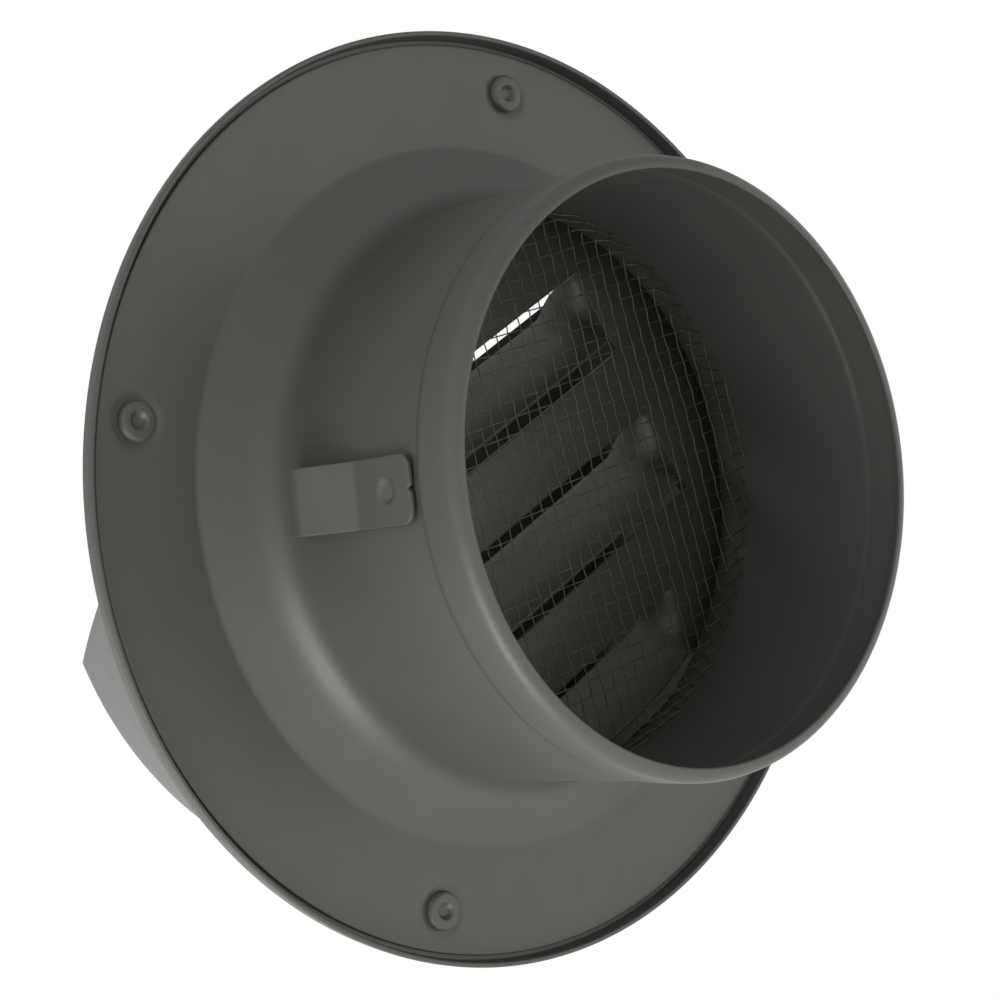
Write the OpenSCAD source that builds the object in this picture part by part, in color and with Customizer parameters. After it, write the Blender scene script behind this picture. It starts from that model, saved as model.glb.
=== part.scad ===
// Hooded louvred vent cap for a round duct, pressed from painted sheet steel.
// The wall plane is y = 0. The spigot runs into the wall towards +Y, the hood
// stands out into the open towards -Y, +Z is up, and the duct axis is the Y axis.

/* [Spigot] */
// Outer diameter of the band at the spigot's end, which centres it in the duct
spigot_d = 98.4; // [94:0.2:102]
// Depth that the spigot reaches behind the wall plane
spigot_depth = 48.4; // [44:0.2:60]
// Diameter of the open mouth inside the rolled-in edge
mouth_d = 93.6; // [90:0.2:93.6]
// Radius of the rolled nose round the mouth
nose_r = 2.2; // [1.6:0.1:3]
// How far the end band stands out past the rest of the spigot
band_rise = 0.3; // [0.2:0.05:0.4]
// Width of the end band
band_w = 5.8; // [5:0.1:6.4]
// Radius of the bend between the spigot and the flange
neck_bend = 8; // [6:0.5:9]

/* [Rim] */
// Outer diameter of the skirt that meets the wall
rim_d = 160; // [156:0.5:176]
// Thickness of the pressed sheets
sheet = 0.8; // [0.6:0.1:0.9]
// Depth of the rear flange's back face below the wall plane
flange_recess = 2; // [1.5:0.1:3]
// Gap between the flange's edge and the outside of the skirt
flange_inset = 1.9; // [1.6:0.1:2.4]
// Distance from the spigot's outside to where the flange starts to slope towards it
step_run = 11.1; // [8:0.1:12.6]
// Slope of that step in degrees
step_slope = 25; // [18:1:30]

/* [Louvres] */
// Distance from one louvre's centre line to the next
louvre_pitch = 29.1; // [28:0.1:30]
// Height of each lanced strip
louvre_height = 16.6; // [13:0.1:17]
// Angle that each blade is turned out of the plate
louvre_turn = 65; // [50:1:68]
// Height of the louvre field's centre above the duct axis
louvre_rise = 0.8; // [0:0.1:1]
// Length of the two long inner louvres
inner_length = 80; // [70:0.5:82]
// Length of the short top and bottom louvres
outer_length = 52; // [44:0.5:54]
// Length of the twist at each end of a blade
twist_length = 7; // [5:0.5:9]

/* [Hood] */
// Distance from the wall plane to the front of the hood
hood_depth = 42; // [38:0.5:50]
// Distance from the rim's outside to the foot of the hood's wall
hood_inset = 2.8; // [2.8:0.1:4]
// Draft of the hood's wall in degrees
hood_draft = 18.3; // [12:0.1:22]
// Radius between the hood's wall and its front
hood_corner = 6; // [4:0.5:8]
// Height of the front's crown at its middle
hood_crown = 1.6; // [0.5:0.1:3]
// Distance below the duct axis at which the brim's plane meets the wall plane
brim_drop = 30.6; // [26:0.2:34]
// Rake of the brim in degrees, rising towards the front
brim_rake = 27; // [20:1:32]

/* [Insect screen] */
// Depth of the screen behind the wall plane
screen_depth = 7; // [6.6:0.1:9]
// Height of the screen's turned edge
screen_edge = 5.5; // [4:0.1:7]
// Distance between the strands that stand in for the weave
strand_pitch = 8.25; // [8.25:0.05:10]
// Turn of the weave from the horizontal in degrees
weave_turn = 16.5; // [0:0.5:45]

/* [Rivets and clips] */
// Gap between the rivet heads and the inside of the hood's wall
rivet_gap = 1.85; // [1.4:0.05:2.4]
// Diameter of each clenched rivet head
rivet_head_d = 6.7; // [5.6:0.1:7]
// Width of each spring clip
clip_w = 10.4; // [8:0.2:13]
// Height of the clip's hump over the spigot
clip_hump = 4; // [3:0.1:5]
// Turn of the ring of clips in degrees, clockwise from the top
clip_turn = 1.2; // [0:0.1:3]

/* [Hidden] */
$fn = 128;
paint = "#6c6b69";
wire_grey = "#6a6457";
bend_steps = 7;
slack = 1;

rim_r = rim_d / 2;
spigot_r = spigot_d / 2;
waist_r = spigot_r - band_rise;
bore_r = waist_r - sheet;
band_y = spigot_depth - nose_r - band_w;
flange_r = rim_r - flange_inset;
seam_y = -flange_recess - sheet;
plate_y = seam_y - sheet;
step_r = waist_r + step_run;
hood_foot_r = rim_r - hood_inset;
hood_foot_y = plate_y - sheet;
rivet_ring = hood_foot_r - sheet - rivet_gap - rivet_head_d / 2;

band_run = 1;
band_bend = 2;
skirt_edge = 1;
skirt_edge_bend = 4;
skirt_draft = 0.4;
skirt_bend = 1;
step_bend = 3;

blade_t = sheet - 0.1;
blade_play = 0.3;
blade_h = louvre_height - 2 * blade_play;
blade_root = 0.5;
blade_clear_r = step_r - 2.4;
blade_clear_slope = 1.57;
blade_spans = 5;
twist_slices = 8;

hood_lip = 1.4;
hood_lip_bend = 1;
dome_steps = 8;

wire = 0.5;
wire_step = 0.3;
strand_w = 1.6;
screen_hem = 2.4;
screen_bend = 1.2;

rivet_angles = [48, 142, 229, 315];
rivet_hole_r = 2;
rivet_seat = 0.25;
rivet_pit_r = 0.9;
rivet_pit_h = 0.2;
rivet_lip_r = 1.7;
rivet_lip_h = 1;
rivet_face_h = 0.9;
rivet_soft = 0.2;
rivet_round = 0.5;
rivet_seat_r = rivet_head_d / 2 + 0.8;

clip_count = 3;
clip_t = 0.6;
clip_start = 9.8;
clip_crest = 13;
clip_crest_bend = 4;
clip_crest_trim = 1.4;
clip_fold = 25.5;
clip_end = 39;
clip_fold_bend = 0.7;
clip_nib = 1.4;
clip_nib_w = 2.4;
clip_nib_lift = 1.1;
clip_foot_bend = 0.4;
clip_foot_lift = 0.1;
clip_corner = 2.2;
clip_notch = 0.6;
clip_fold_lift = 0.4;
clip_lift = 0.5;
clinch_y = 33;
clinch_r = 1.5;
clinch_depth = 0.35;

// Plain geometry: unit vectors, left-hand normals and rounded corners
function unit(v) = v / norm(v);
function left(v) = [-v[1], v[0]];
function point(c) = [c[0], c[1]];
function wrap(a) = (a + 540) % 360 - 180;

// Points of an arc of radius r that rounds the corner b between a and c
function round_bend(a, b, c, r) =
    let (
        p = unit(a - b),
        q = unit(c - b),
        half = acos(p * q) / 2,
        centre = b + unit(p + q) * r / sin(half),
        from = b + p * r / tan(half) - centre,
        to = b + q * r / tan(half) - centre,
        first = atan2(from[1], from[0]),
        turn = wrap(atan2(to[1], to[0]) - first)
    )
    [
        for (i = [0:bend_steps])
            let (a = first + turn * i / bend_steps)
            centre + r * [cos(a), sin(a)]
    ];

// A path through corners given as [x, y, bend radius]
function bent_path(corners) = [
    for (i = [0:len(corners) - 1])
        let (c = corners[i])
        each c[2] == 0
            ? [point(c)]
            : round_bend(point(corners[i - 1]), point(c), point(corners[i + 1]), c[2])
];

// The normal at point i, long enough to keep the sheet's thickness in a bend
function sheet_normal(path, i) =
    let (
        last = len(path) - 1,
        before = unit(i == 0 ? path[1] - path[0] : path[i] - path[i - 1]),
        after = unit(i == last ? path[i] - path[i - 1] : path[i + 1] - path[i]),
        middle = unit(left(before) + left(after))
    )
    middle / (middle * left(before));

// The outline of a sheet of thickness t on the left of a path, or on its right if t < 0
function sheet_outline(path, t) = concat(
    path,
    [for (i = [len(path) - 1:-1:0]) path[i] + t * sheet_normal(path, i)]
);

// Turns shapes made round the Z axis so that they run along the duct, into the wall
module duct_axis() rotate([-90, 0, 0]) children();

// Spins an outline of [radius, depth] points round the duct axis, none of them past it
module spun(outline) duct_axis() rotate_extrude() polygon([for (p = outline) [max(p[0], 0), p[1]]]);

// Places a shape made at the top of a ring at an angle clockwise from the top
module around(angle) rotate([0, angle, 0]) children();

// Extrudes an outline of [depth, height] points sideways, centred on the YZ plane
module across(width) rotate([90, 0, 90]) linear_extrude(width, center = true) children();

// The flange and the spigot, drawn from one sheet
rear_path = bent_path([
    [flange_r, -flange_recess, 0],
    [step_r, -flange_recess, step_bend],
    [waist_r, step_run * tan(step_slope) - flange_recess, neck_bend],
    [waist_r, band_y - band_run, band_bend],
    [spigot_r, band_y, band_bend],
    [spigot_r, spigot_depth, nose_r],
    [mouth_d / 2, spigot_depth, 0]
]);

// Round holes for the rivets through whatever lies between two depths
module rivet_holes(radius, from_y, to_y) {
    for (angle = rivet_angles)
        around(angle) translate([0, from_y, rivet_ring])
            duct_axis() cylinder(h = to_y - from_y, r = radius);
}

module rear_body() {
    color(paint) difference() {
        spun(sheet_outline(rear_path, sheet));
        rivet_holes(rivet_hole_r, plate_y, slack);
        rivet_holes(rivet_seat_r, -flange_recess - rivet_seat, slack);
    }
}

// The front plate, with its skirt turned back to the wall
plate_path = bent_path([
    [rim_r, 0, 0],
    [rim_r, -skirt_edge, skirt_edge_bend],
    [rim_r - skirt_draft, plate_y, skirt_bend],
    [0, plate_y, 0]
]);

// Height of louvre i above the duct axis, and half of its length
louvre_last = 3;
function louvre_z(i) = louvre_rise + (i - louvre_last / 2) * louvre_pitch;
function louvre_reach(i) = (i == 0 || i == louvre_last ? outer_length : inner_length) / 2;

// The opening that one strip leaves in the plate
module louvre_opening(reach) {
    translate([-reach, plate_y - slack, -louvre_height / 2])
        cube([2 * reach, sheet + 2 * slack, louvre_height]);
}

// How far a strip has turned at x: nothing at its ends, all of louvre_turn past the twists
function ease(s) = let (c = min(max(s, 0), 1)) c * c * (3 - 2 * c);
function turn_at(x, reach) = louvre_turn * ease((reach - abs(x)) / twist_length);

// Half-height of a strip's inner edge at x, trimmed where the flange's bend would touch it.
// It is the smaller root of: distance from the duct axis = radius of a cone inside the bend
function trimmed(x, reach, z) =
    let (
        a = turn_at(x, reach),
        near = blade_clear_r - blade_clear_slope * sheet / 2,
        b = blade_clear_slope * sin(a),
        c = cos(a),
        half = near * b + z * c,
        square = b * b - c * c
    )
    min(blade_h / 2, (half - sqrt(half * half - square * (near * near - x * x - z * z))) / square);

// The four corners of a strip's section at x
function section(x, reach, z) =
    let (a = turn_at(x, reach), up = trimmed(x, reach, z), low = -blade_h / 2)
    [
        for (p = [[-1, low], [1, low], [1, up], [-1, up]])
            let (y = p[0] * blade_t / 2)
            [x, y * cos(a) + p[1] * sin(a), p[1] * cos(a) - y * sin(a)]
    ];

// Where a strip is cut into sections: its roots in the plate, its twists and between them
function stations(reach) =
    let (
        flat = reach - twist_length,
        half = concat(
            [for (i = [0:blade_spans - 1]) flat * i / blade_spans],
            [for (i = [0:twist_slices]) flat + twist_length * i / twist_slices],
            [reach + blade_root]
        )
    )
    concat([for (i = [len(half) - 1:-1:1]) -half[i]], half);

// A strip lanced out of the plate and turned about its centre line, its lower edge outwards
module blade(reach, z) {
    xs = stations(reach);
    ends = len(xs) - 1;
    e = 4 * ends;
    points = [for (x = xs) each section(x, reach, z)];
    skin = [
        for (i = [0:ends - 1], j = [0:3])
            let (a = 4 * i + j, b = 4 * i + (j + 1) % 4)
            each [[a, a + 4, b + 4], [a, b + 4, b]]
    ];
    caps = [[0, 1, 2], [0, 2, 3], [e + 2, e + 1, e], [e + 3, e + 2, e]];
    translate([0, plate_y + sheet / 2, z]) polyhedron(points, concat(skin, caps), convexity = 4);
}

module louvre_plate() {
    color(paint) difference() {
        union() {
            difference() {
                spun(sheet_outline(plate_path, -sheet));
                for (i = [0:louvre_last])
                    translate([0, 0, louvre_z(i)]) louvre_opening(louvre_reach(i));
            }
            for (i = [0:louvre_last])
                blade(louvre_reach(i), louvre_z(i));
        }
        rivet_holes(rivet_hole_r, plate_y - slack, slack);
    }
}

// The hood's wall and front, as far as the crown
hood_wall = bent_path([
    [hood_foot_r + hood_lip, hood_foot_y, 0],
    [hood_foot_r, hood_foot_y, hood_lip_bend],
    [hood_foot_r - (hood_depth + hood_foot_y) * tan(hood_draft), -hood_depth, hood_corner],
    [0, -hood_depth, 0]
]);
hood_flat_r = hood_wall[len(hood_wall) - 2][0];
hood_dome = [
    for (i = [1:dome_steps])
        let (r = hood_flat_r * (1 - i / dome_steps))
        [r, -hood_depth - hood_crown * pow(1 - pow(r / hood_flat_r, 2), 2)]
];
hood_path = concat([for (i = [0:len(hood_wall) - 2]) hood_wall[i]], hood_dome);

module hood() {
    color(paint) difference() {
        spun(sheet_outline(hood_path, -sheet));
        translate([0, 0, -brim_drop]) rotate([-brim_rake, 0, 0])
            translate([-rim_r, -2 * rim_r, -2 * rim_r]) cube([2 * rim_r, 4 * rim_r, 2 * rim_r]);
    }
}

// A dished screen pressed into the spigot. Coarse strands stand in for its fine weave
hem_path = bent_path([
    [bore_r - screen_hem, screen_depth, 0],
    [bore_r, screen_depth, screen_bend],
    [bore_r, screen_depth + screen_edge, 0]
]);

module strands(depth) {
    count = ceil(bore_r / strand_pitch);
    for (i = [-count:count])
        translate([-bore_r, depth, (i + 0.5) * strand_pitch - strand_w / 2])
            cube([2 * bore_r, wire, strand_w]);
}

module insect_screen() {
    color(wire_grey) {
        spun(sheet_outline(hem_path, wire));
        intersection() {
            duct_axis() cylinder(h = rim_r, r = bore_r - screen_hem / 2);
            rotate([0, -weave_turn, 0]) {
                strands(screen_depth + wire_step / 2);
                rotate([0, 90, 0]) strands(screen_depth + wire_step / 2 + wire_step);
            }
        }
    }
}

// A rivet through the flange and the plate: a clenched ring behind, a plain head in front
module rivet(angle) {
    ring = rivet_head_d / 2;
    back_y = -flange_recess - rivet_seat;
    profile = bent_path([
        [0, back_y + rivet_pit_h, 0],
        [rivet_pit_r, back_y + rivet_pit_h, rivet_soft],
        [rivet_lip_r, back_y + rivet_lip_h, rivet_soft],
        [ring - rivet_soft, back_y + rivet_lip_h, rivet_round],
        [ring, back_y, 0],
        [rivet_hole_r, back_y, 0],
        [rivet_hole_r, plate_y, 0],
        [ring, plate_y, 0],
        [ring, plate_y - rivet_face_h, rivet_round],
        [0, plate_y - rivet_face_h - rivet_soft, 0]
    ]);
    color(paint) around(angle) translate([0, 0, rivet_ring]) spun(profile);
}

module rivet_1() rivet(rivet_angles[0]);
module rivet_2() rivet(rivet_angles[1]);
module rivet_3() rivet(rivet_angles[2]);
module rivet_4() rivet(rivet_angles[3]);

// The clip's outer face from its nib over the hump to the end of the tab
clip_rest = waist_r + clip_t;
clip_path = bent_path([
    [clip_start - clip_nib, clip_rest + clip_nib_lift, 0],
    [clip_start, clip_rest + clip_foot_lift, clip_foot_bend],
    [clip_crest, waist_r + clip_hump + clip_crest_trim, clip_crest_bend],
    [clip_fold, clip_rest + clip_fold_lift, clip_fold_bend],
    [clip_end, clip_rest + clip_lift, 0]
]);

// The clip's plan: rounded corners and a notch at the tab's end, a nib at the other
clip_plan = bent_path([
    [-clip_w / 2, clip_start, 0],
    [-clip_w / 2, clip_end, clip_corner],
    [-clip_notch, clip_end, 0],
    [0, clip_end - clip_notch, 0],
    [clip_notch, clip_end, 0],
    [clip_w / 2, clip_end, clip_corner],
    [clip_w / 2, clip_start, 0],
    [clip_nib_w / 2, clip_start, 0],
    [0, clip_start - clip_nib, 0],
    [-clip_nib_w / 2, clip_start, 0]
]);

// A spring clip, clinched to the outside of the spigot through a small dimple
module spring_clip() {
    color(paint) difference() {
        union() {
            intersection() {
                across(clip_w) polygon(sheet_outline(clip_path, -clip_t));
                linear_extrude(rim_r) polygon(clip_plan);
            }
            translate([0, clinch_y, waist_r - slack]) cylinder(h = slack + clip_t, r = clinch_r);
        }
        translate([0, clinch_y, clip_rest + clip_lift + 2 * clinch_r - clinch_depth])
            sphere(r = 2 * clinch_r);
        duct_axis() cylinder(h = rim_r, r = waist_r);
    }
}

// Clip i of the ring, clockwise from the top
module ring_clip(i) around(clip_turn + i * 360 / clip_count) spring_clip();
module clip_top() ring_clip(0);
module clip_right() ring_clip(1);
module clip_left() ring_clip(2);

rear_body();
louvre_plate();
hood();
insect_screen();
rivet_1();
rivet_2();
rivet_3();
rivet_4();
clip_top();
clip_right();
clip_left();
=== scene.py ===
# %% [markdown]
# A hooded louvred vent cap, dressed in Blender
#
# The object is a wall vent cap for a round duct, pressed from thin steel sheet and painted
# a satin grey. The solids were made in CAD, so their sizes are settled. This file gives them
# their looks: soft bends, a fine wire screen, twisted louvre blades, clenched rivets, spring
# clips, and the paint. We start by loading the imported solids as a fixed frame and read
# their sizes from their boxes.

# %% Load the frame
import bpy
import bmesh
import math
import numpy as np
from mathutils import Matrix, Vector

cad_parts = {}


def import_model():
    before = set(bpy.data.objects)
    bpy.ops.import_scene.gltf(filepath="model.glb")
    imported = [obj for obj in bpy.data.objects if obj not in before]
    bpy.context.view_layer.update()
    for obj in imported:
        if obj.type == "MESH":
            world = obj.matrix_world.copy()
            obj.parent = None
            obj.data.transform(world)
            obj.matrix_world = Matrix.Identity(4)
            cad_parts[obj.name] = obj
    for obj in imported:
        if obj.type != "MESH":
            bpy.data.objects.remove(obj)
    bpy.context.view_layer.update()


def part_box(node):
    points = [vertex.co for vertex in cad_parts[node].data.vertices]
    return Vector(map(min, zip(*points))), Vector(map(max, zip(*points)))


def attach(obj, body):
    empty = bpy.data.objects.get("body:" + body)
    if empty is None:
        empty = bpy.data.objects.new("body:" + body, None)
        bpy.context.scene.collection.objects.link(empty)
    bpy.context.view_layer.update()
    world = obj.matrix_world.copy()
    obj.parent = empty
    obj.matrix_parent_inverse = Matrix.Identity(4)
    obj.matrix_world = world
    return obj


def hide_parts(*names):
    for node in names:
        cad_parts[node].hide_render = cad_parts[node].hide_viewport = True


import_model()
MM = 0.001

# %% [markdown]
# The object's own axes: the wall plane is y = 0, the spigot runs into the wall along +Y,
# the hood stands out along -Y, and +Z is up. Sizes that the solids hold are read from their
# boxes, so that a change in the CAD model moves the looks with it. The rest are the
# real object's small sizes in millimetres, such as the thickness of the sheet.

# %% Sizes from the frame, in millimetres
def corner(node, which):
    """One corner of a CAD node's box, in millimetres."""
    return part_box(node)[which] / MM


RIM_R = corner("louvre_plate", 1).x
SPIGOT_END = corner("rear_body", 1).y
FLANGE_R = corner("rear_body", 1).x
HOOD_LIP_R = corner("hood", 1).x
SCREEN_DEPTH = corner("insect_screen", 0).y
SCREEN_TOP = corner("insect_screen", 1).y
BORE_R = corner("insect_screen", 1).z

SHEET = 0.8
WAIST_R = BORE_R + SHEET
SPIGOT_R = WAIST_R + 0.3
FLANGE_BACK = -2.0
SEAM = FLANGE_BACK - SHEET
PLATE_FRONT = SEAM - SHEET
HOOD_FOOT = PLATE_FRONT - SHEET
print("rim radius", round(RIM_R, 2), "spigot", round(SPIGOT_R, 2), "to", round(SPIGOT_END, 2))

# %% [markdown]
# ## The camera
#
# The photograph looks at the cap from behind the wall, from below and from the left, and it
# shows it upside down. Azimuth, elevation and roll say that in three angles, and a point
# near the middle of the rim is what the camera aims at. Making the camera first means every
# later piece can be judged from the same place.

# %% Camera
VIEW_AZIMUTH = -143.04
VIEW_ELEVATION = -16.37
VIEW_ROLL = 151.71
VIEW_DISTANCE = 401.87
VIEW_TARGET = Vector((-0.86, -0.35, 0.82))
VIEW_LENS = 84.38


def make_camera():
    """The photograph's viewpoint, which also gives the lamps their left, right, up and down."""
    data = bpy.data.cameras.new("camera")
    data.lens = VIEW_LENS
    camera = bpy.data.objects.new("camera", data)
    bpy.context.scene.collection.objects.link(camera)
    turn, lift = math.radians(VIEW_AZIMUTH), math.radians(VIEW_ELEVATION)
    back = Vector((math.sin(turn) * math.cos(lift), -math.cos(turn) * math.cos(lift), math.sin(lift)))
    upright = back.to_track_quat("Z", "Y").to_matrix().to_4x4()
    place = Matrix.Translation((VIEW_TARGET + back * VIEW_DISTANCE) * MM)
    camera.matrix_world = place @ upright @ Matrix.Rotation(math.radians(VIEW_ROLL), 4, "Z")
    bpy.context.scene.camera = camera
    bpy.context.view_layer.update()
    return camera


camera = make_camera()
print("camera at", [round(v / MM) for v in camera.location])

# %% [markdown]
# ## Two helpers for node trees
#
# Both materials and Geometry Nodes are trees of nodes. One function adds a node of any kind,
# fills or links its inputs and changes its settings, so a tree reads as a list of steps. The
# other turns the hex colour that a painter would name into the linear values Blender wants.

# %% Node and colour helpers
def add(tree, kind, inputs=None, **settings):
    """Adds a node, changes its settings, and gives each named or numbered input a value or a link."""
    node = tree.nodes.new(kind)
    for name, value in settings.items():
        setattr(node, name, value)
    for name, value in (inputs or {}).items():
        value = value.outputs[0] if isinstance(value, bpy.types.Node) else value
        if isinstance(value, bpy.types.NodeSocket):
            tree.links.new(value, node.inputs[name])
        else:
            node.inputs[name].default_value = value
    return node


def colour(hex_text):
    """An sRGB hex colour as linear red, green, blue and alpha."""
    parts = [int(hex_text[i:i + 2], 16) / 255 for i in (1, 3, 5)]
    return [c / 12.92 if c <= 0.04045 else ((c + 0.055) / 1.055) ** 2.4 for c in parts] + [1.0]


print("mid grey is", [round(c, 3) for c in colour("#808080")])

# %% [markdown]
# ## The paint
#
# The sheets carry a satin grey coat with a faint metallic lustre. Up close such a coat is
# never quite even: it is a little mottled, it has the fine waviness of orange peel, and it is
# smoother here and duller there. Each of these is a noise at its own scale. The shader's bevel
# normal rounds every cut edge a little, so that it catches light, and a lighter grey along sharp edges is a painted
# highlight.

# %% Paint material
PAINT_DARK = "#6a6966"
PAINT_LIGHT = "#74736f"
# Lighter grey for the painted highlight along sharp edges
PAINTED_EDGE_HIGHLIGHT = "#8b8a86"


def painted_steel():
    """Satin powder-coated steel sheet."""
    material = bpy.data.materials.new("satin_grey_powder_coat")
    material.use_nodes = True
    tree = material.node_tree
    tree.nodes.clear()
    place = add(tree, "ShaderNodeTexCoord").outputs["Object"]
    # Slow mottle in the coat's tone
    mottle = add(tree, "ShaderNodeTexNoise", {"Vector": place, "Scale": 70.0, "Detail": 5.0, "Roughness": 0.6})
    tone = add(tree, "ShaderNodeMix", {"Factor": mottle, 6: colour(PAINT_DARK), 7: colour(PAINT_LIGHT)}, data_type="RGBA")
    # Painted highlight along sharp edges: a lighter grey where the rounded normal leaves the true one
    soft = add(tree, "ShaderNodeBevel", {"Radius": 0.0003}, samples=4)
    true_normal = add(tree, "ShaderNodeNewGeometry").outputs["Normal"]
    agree = add(tree, "ShaderNodeVectorMath", {0: soft, 1: true_normal}, operation="DOT_PRODUCT").outputs["Value"]
    edge = add(tree, "ShaderNodeMapRange", {"Value": agree, "From Min": 0.99, "From Max": 0.8, "To Max": 0.55})
    edge_highlight = add(tree, "ShaderNodeMix", {"Factor": edge, 6: tone.outputs[2], 7: colour(PAINTED_EDGE_HIGHLIGHT)}, data_type="RGBA")
    # Duller and shinier patches
    patches = add(tree, "ShaderNodeTexNoise", {"Vector": place, "Scale": 160.0, "Detail": 4.0})
    rough = add(tree, "ShaderNodeMapRange", {"Value": patches, "To Min": 0.37, "To Max": 0.47})
    # Orange peel, and a finer grain on top of it
    peel = add(tree, "ShaderNodeTexNoise", {"Vector": place, "Scale": 620.0, "Detail": 2.0})
    waves = add(tree, "ShaderNodeBump", {"Strength": 0.25, "Distance": 0.00005, "Height": peel, "Normal": soft})
    grain = add(tree, "ShaderNodeTexNoise", {"Vector": place, "Scale": 3200.0, "Detail": 2.0})
    skin = add(tree, "ShaderNodeBump", {"Strength": 0.2, "Distance": 0.00002, "Height": grain, "Normal": waves})
    shader = add(tree, "ShaderNodeBsdfPrincipled", {
        "Base Color": edge_highlight.outputs[2], "Metallic": 0.3, "Roughness": rough.outputs[0], "Normal": skin})
    add(tree, "ShaderNodeOutputMaterial", {"Surface": shader})
    return material


paint = painted_steel()
print("material", paint.name, "with", len(paint.node_tree.nodes), "nodes")

# %% [markdown]
# ## The screen's wire
#
# The screen is woven from thin galvanised wire that has gone dull and a little brown. Zinc
# shows pale and dark spangles along the wire, so the tone and the roughness both vary in
# small steps, and the wire is mostly metallic.

# %% Wire material
WIRE_DARK = "#57524a"
WIRE_LIGHT = "#8f887a"


def galvanised_wire():
    """Dull galvanised steel wire."""
    material = bpy.data.materials.new("dull_galvanised_wire")
    material.use_nodes = True
    tree = material.node_tree
    tree.nodes.clear()
    place = add(tree, "ShaderNodeTexCoord").outputs["Object"]
    # Zinc spangle along the wire
    spangle = add(tree, "ShaderNodeTexNoise", {"Vector": place, "Scale": 420.0, "Detail": 4.0, "Roughness": 0.7})
    tone = add(tree, "ShaderNodeMix", {"Factor": spangle, 6: colour(WIRE_DARK), 7: colour(WIRE_LIGHT)}, data_type="RGBA")
    rough = add(tree, "ShaderNodeMapRange", {"Value": spangle, "To Min": 0.38, "To Max": 0.62})
    # Drawing marks and dust on the zinc
    dust = add(tree, "ShaderNodeTexNoise", {"Vector": place, "Scale": 5000.0, "Detail": 2.0})
    skin = add(tree, "ShaderNodeBump", {"Strength": 0.3, "Distance": 0.00002, "Height": dust})
    shader = add(tree, "ShaderNodeBsdfPrincipled", {
        "Base Color": tone.outputs[2], "Metallic": 0.75, "Roughness": rough.outputs[0], "Normal": skin})
    add(tree, "ShaderNodeOutputMaterial", {"Surface": shader})
    return material


wire_metal = galvanised_wire()
print("material", wire_metal.name, "with", len(wire_metal.node_tree.nodes), "nodes")

# %% [markdown]
# ## Sheet metal as bent paths
#
# A pressed part is a thin sheet that follows a path with rounded bends. So we write the path
# as corners with a bend radius each, round the corners with arcs, and offset the path by the
# sheet's thickness to get a closed outline. The corners of the outline's cut ends get a small
# radius too, because a painted sheet edge is soft and catches a thin line of light.

# %% Bent paths
BEND_STEPS = 9
EDGE_STEPS = 3
EDGE_SOFT = 0.22


def unit(v):
    return v / np.linalg.norm(v)


def round_bend(a, b, c, radius, steps):
    """Points of an arc that rounds the corner b between a and c."""
    p, q = unit(a - b), unit(c - b)
    half = math.acos(float(np.clip(p @ q, -1, 1))) / 2
    centre = b + unit(p + q) * radius / math.sin(half)
    first = b + p * radius / math.tan(half) - centre
    last = b + q * radius / math.tan(half) - centre
    start = math.atan2(first[1], first[0])
    turn = (math.atan2(last[1], last[0]) - start + math.pi) % math.tau - math.pi
    angles = start + turn * np.linspace(0, 1, steps + 1)
    return [centre + radius * np.array((math.cos(t), math.sin(t))) for t in angles]


def bent_path(corners, steps=BEND_STEPS):
    """A path through corners given as (x, y, bend radius)."""
    points = [np.array(c[:2], float) for c in corners]
    path = []
    for i, c in enumerate(corners):
        path += [points[i]] if c[2] == 0 else round_bend(points[i - 1], points[i], points[i + 1], c[2], steps)
    return path


def refined(path, longest):
    """The same path with its straight runs cut into steps. longest may depend on the radius."""
    out = [path[0]]
    for a, b in zip(path, path[1:]):
        while np.linalg.norm(b - out[-1]) > 1.5 * longest(out[-1][0]):
            out.append(out[-1] + unit(b - out[-1]) * longest(out[-1][0]))
        out.append(b)
    return out


def offset_path(path, distance):
    """The path moved sideways, to its left for a positive distance."""
    out = []
    for i, p in enumerate(path):
        before = unit(path[max(i, 1)] - path[max(i, 1) - 1])
        after = unit(path[min(i + 1, len(path) - 1)] - path[min(i, len(path) - 2)])
        n0, n1 = np.array((-before[1], before[0])), np.array((-after[1], after[0]))
        middle = unit(n0 + n1)
        out.append(p + distance * middle / (middle @ n0))
    return out


def sheet_outline(path, thickness, soft_ends=(True, True)):
    """A closed outline round a sheet that lies on the left of the path, with softened cut ends."""
    far = offset_path(path, thickness)[::-1]
    ring = path + far
    soft = {0: soft_ends[0], len(path) - 1: soft_ends[1], len(path): soft_ends[1], len(ring) - 1: soft_ends[0]}
    out = []
    for i, p in enumerate(ring):
        if soft.get(i):
            out += round_bend(ring[i - 1], p, ring[(i + 1) % len(ring)], EDGE_SOFT, EDGE_STEPS)
        else:
            out.append(p)
    return out


print("a right-angled bend has", len(round_bend(*np.array(((1, 0), (0, 0), (0, 1)), float), 1, BEND_STEPS)), "points")

# %% [markdown]
# ## From points to finished pieces
#
# Every piece is made of points in millimetres, in the object's own axes, and its origin stays
# at the world's origin. One function joins doubled points, makes all the faces look outwards, and
# marks as sharp only the edges that really are, so bends shade smoothly. A second one
# spins an outline round the duct axis. Its angles may be closer together in places, which
# we need where the flange is pressed in round each rivet.

# %% Mesh helpers
def tidy(mesh, sharp=32):
    """Joins doubled points, turns the faces outwards and shades bends smooth."""
    work = bmesh.new()
    work.from_mesh(mesh)
    bmesh.ops.remove_doubles(work, verts=work.verts, dist=0.004 * MM)
    bmesh.ops.dissolve_degenerate(work, edges=work.edges, dist=0.002 * MM)
    bmesh.ops.recalc_face_normals(work, faces=work.faces)
    work.to_mesh(mesh)
    work.free()
    mesh.shade_smooth()
    mesh.set_sharp_from_angle(angle=math.radians(sharp))
    return mesh


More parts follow.
